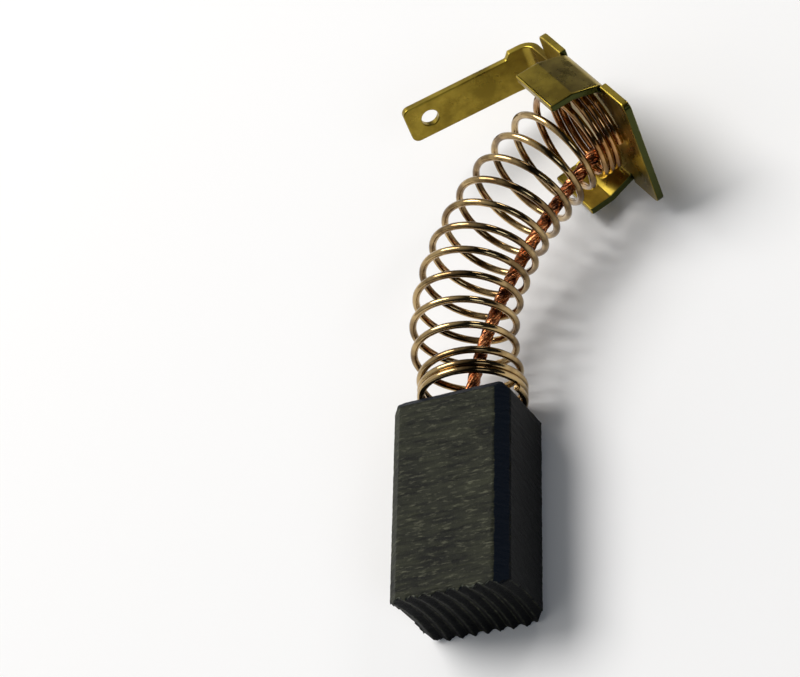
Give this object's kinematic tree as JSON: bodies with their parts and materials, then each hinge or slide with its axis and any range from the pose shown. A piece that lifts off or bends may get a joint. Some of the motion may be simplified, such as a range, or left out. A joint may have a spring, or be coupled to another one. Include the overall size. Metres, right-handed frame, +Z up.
{
  "type": "carbon brush",
  "caption": "Rectangular carbon brush block with a concave contact face, bowed compression spring, braided copper shunt and a folded brass terminal with a push-on tab.",
  "frame": {"origin": "middle of the block's back face, which the part lies on", "axes": "+Z up, square to the block's front face; +Y along the block from its contact face to its spring end; +X across the block's width"},
  "size_m": [0.0179, 0.04, 0.0104],
  "materials": {
    "carbon_block": "matt, ground, faintly striated",
    "pressure_spring": "bright drawn wire",
    "copper_shunt": "bright stranded copper",
    "terminal_plate": "bright rolled sheet with light tarnish"
  },
  "bodies": {
    "terminal": {"terminal_plate": "terminal_plate", "pressure_spring": "pressure_spring", "copper_shunt": "copper_shunt"},
    "block": {"carbon_block": "carbon_block"}
  },
  "joints": [
    {"name": "block_travel", "type": "slide", "parent": "terminal", "child": "block", "axis": [0.468, 0.8837, 0], "range_m": [0, 0.009], "stiffness_N_per_m": 140, "springref_m": -0.004, "deforming": ["pressure_spring", "copper_shunt"]}
  ]
}
